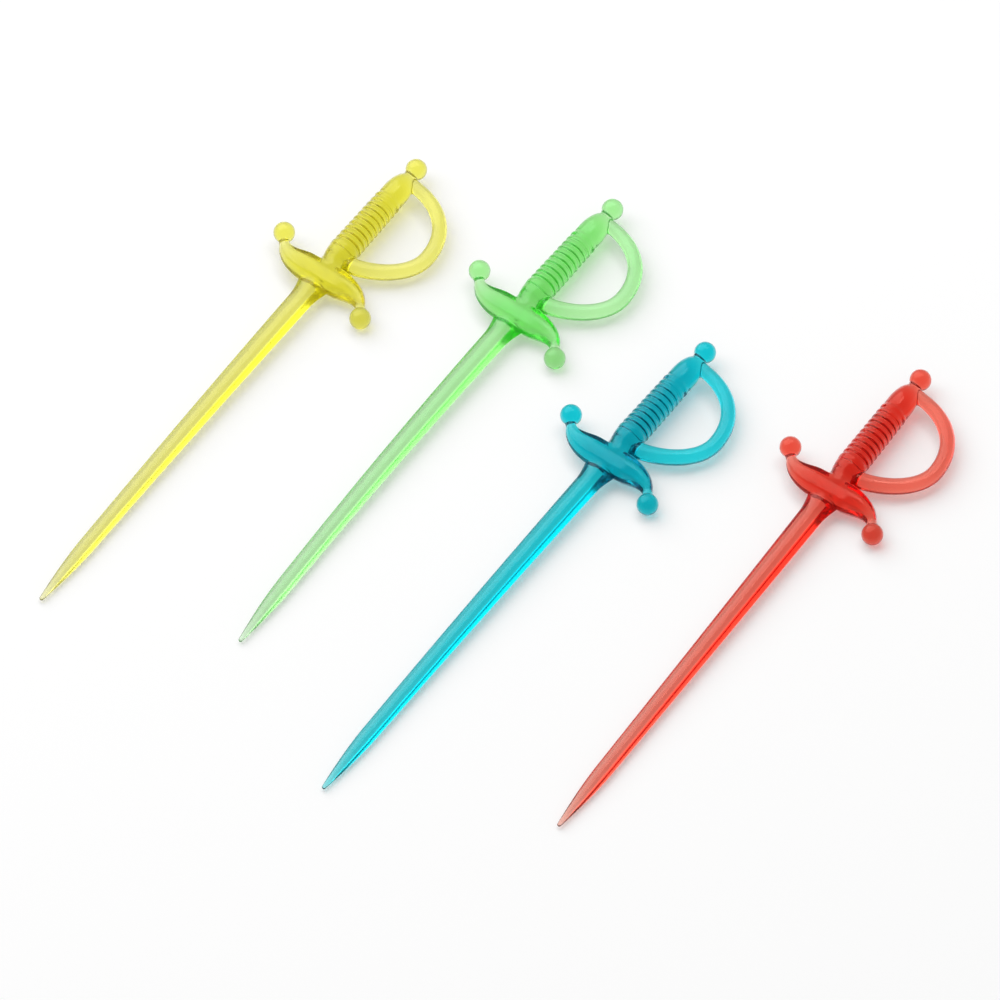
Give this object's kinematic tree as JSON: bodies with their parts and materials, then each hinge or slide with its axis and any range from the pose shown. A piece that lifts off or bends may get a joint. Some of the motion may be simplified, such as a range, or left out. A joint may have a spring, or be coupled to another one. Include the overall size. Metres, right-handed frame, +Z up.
{
  "type": "sword cocktail picks",
  "caption": "Translucent plastic cocktail picks shaped like small swords, each a ridged blade with an S-shaped guard, ribbed grip, knuckle bow and ball ends, lying side by side.",
  "frame": {"origin": "on the table, under the middle of the box round the whole set", "axes": "+Z is up from the table; the picks point along Y, with their pommels at +Y and their tips at -Y; +X runs from the yellow pick to the red one"},
  "size_m": [0.098, 0.1022, 0.0044],
  "materials": {
    "yellow_plastic": "glossy translucent",
    "green_plastic": "glossy translucent",
    "blue_plastic": "glossy translucent",
    "red_plastic": "glossy translucent"
  },
  "bodies": {
    "yellow": {"yellow_pick": "yellow_plastic"},
    "green": {"green_pick": "green_plastic"},
    "blue": {"blue_pick": "blue_plastic"},
    "red": {"red_pick": "red_plastic"}
  },
  "joints": [
    {"name": "yellow_lift", "type": "slide", "parent": "blue", "child": "yellow", "axis": [0, 0, 1], "range_m": [0, 0.05]},
    {"name": "green_lift", "type": "slide", "parent": "blue", "child": "green", "axis": [0, 0, 1], "range_m": [0, 0.05]},
    {"name": "red_lift", "type": "slide", "parent": "blue", "child": "red", "axis": [0, 0, 1], "range_m": [0, 0.05]}
  ]
}
